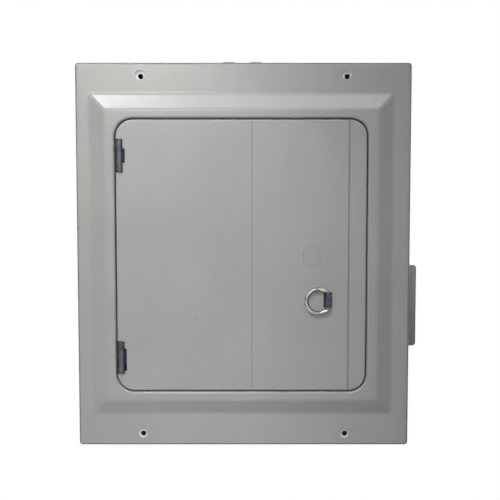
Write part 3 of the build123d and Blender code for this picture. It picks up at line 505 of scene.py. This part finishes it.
def make_world():
    """Faint even light from all round, and a background that is white where it is seen plainly."""
    world = bpy.data.worlds.new("studio")
    bpy.context.scene.world = world
    world.use_nodes = True
    sky = Nodes(world.node_tree)
    light = sky.node("ShaderNodeBackground", None, {"Color": WHITE, "Strength": WORLD_LEVEL})
    white = sky.node("ShaderNodeBackground", None, {"Color": WHITE, "Strength": 1.0})
    shaders = {0: sky.seen_plainly(), 1: light.outputs[0], 2: white.outputs[0]}
    mixed = sky.node("ShaderNodeMixShader", None, shaders)
    sky.node("ShaderNodeOutputWorld", None, {0: mixed.outputs[0]})


def hang(data, place, target):
    """Puts a lamp or the camera in its place, turned to its target."""
    holder = bpy.data.objects.new(data.name, data)
    holder.location = place
    holder.rotation_euler = (Vector(target) - Vector(place)).to_track_quat("-Z", "Y").to_euler()
    bpy.context.collection.objects.link(holder)
    return holder


def make_spot():
    """The lamp that lights the board from its left and fades towards the right."""
    lamp = bpy.data.lights.new("spot", "SPOT")
    lamp.energy = SPOT_POWER
    lamp.color = SPOT_COLOUR
    lamp.shadow_soft_size = SPOT_RADIUS
    lamp.spot_size = SPOT_CONE
    lamp.spot_blend = SPOT_BLEND
    hang(lamp, SPOT_PLACE, SPOT_AIM).scale.y = SPOT_STRETCH


def make_panel(name, place, target, size, power, colour=(1, 1, 1), spread=math.pi):
    """A soft flat lamp."""
    lamp = bpy.data.lights.new(name, "AREA")
    lamp.shape = "RECTANGLE"
    lamp.size, lamp.size_y = size
    lamp.energy = power
    lamp.color = colour
    lamp.spread = spread
    hang(lamp, place, target)


def make_camera():
    """The camera of the reference view."""
    camera = bpy.data.cameras.new("camera")
    camera.sensor_width = SENSOR_WIDTH
    camera.lens = FOCAL_PIXELS / IMAGE_PIXELS * SENSOR_WIDTH
    camera.clip_start = NEAR_CLIP
    camera.clip_end = FAR_CLIP
    place = (
        AIM[0],
        AIM[1] - CAMERA_DISTANCE * math.cos(CAMERA_TILT),
        AIM[2] + CAMERA_DISTANCE * math.sin(CAMERA_TILT),
    )
    bpy.context.scene.camera = hang(camera, place, AIM)


make_camera()
make_world()
make_floor()
make_spot()
for panel, settings in PANELS.items():
    make_panel(panel, **settings)

dress(enamel("cover_enamel", cover_marks), "front_cover")
dress(enamel("door_enamel", door_marks), "door_panel")
dress(enamel("inside_enamel"), "dead_front", "dead_front_rivets")
dress(galvanised(), "enclosure_box", "interior_pan")
dress(flange_sheet(), "stud_flange", "flange_rivets")
dress(
    plated(
        "blued_hinge_steel",
        dark=srgb(66, 68, 76),
        light=srgb(104, 106, 116),
        roughness=0.38,
        marks=hinge_marks,
        metallic=0.7,
    ),
    *nodes_named("hinge_"),
)
dress(
    plated("blued_steel", dark=srgb(48, 55, 62), light=srgb(90, 99, 107), roughness=0.32),
    "latch_spring",
)
dress(
    plated(
        "bright_nickel",
        dark=srgb(116, 112, 108),
        light=srgb(188, 185, 181),
        roughness=0.16,
        marks=ring_marks,
    ),
    "latch_ring",
)
dress(
    plated("bright_zinc", dark=srgb(176, 178, 182), light=srgb(206, 207, 208), roughness=0.28),
    "pan_screws",
    "neutral_fixing_screws",
    "earth_fixing_screws",
    "neutral_bar_screws",
    "earth_bar_screws",
    "earth_stand_offs",
    "breaker_terminal_screws",
    "main_lug_screws",
    "bonding_screw",
)
dress(
    plated("tinned_bus", dark=srgb(188, 189, 190), light=srgb(212, 212, 210), roughness=0.3),
    "line_bus_left",
    "line_bus_right",
)
dress(
    plated("milled_aluminium", dark=srgb(184, 186, 190), light=srgb(210, 211, 213), roughness=0.34),
    "main_lug_left",
    "main_lug_right",
    "neutral_bar",
    "earth_bar",
)
dress(
    plated("plain_brass", dark=srgb(180, 146, 84), light=srgb(206, 172, 108), roughness=0.3),
    "bonding_strap",
)
dress(
    moulded("support_moulding", dark=srgb(38, 38, 40), light=srgb(50, 50, 52), roughness=0.45),
    "bus_support",
    "neutral_stand_offs",
)
dress(
    moulded("case_moulding", dark=srgb(30, 30, 32), light=srgb(42, 42, 44), roughness=0.40),
    *nodes_named("breaker_case_"),
)
dress(
    moulded("handle_moulding", dark=srgb(24, 24, 26), light=srgb(34, 34, 36), roughness=0.32),
    *nodes_named("breaker_handle_"),
)

bpy.context.scene.view_settings.view_transform = "Standard"
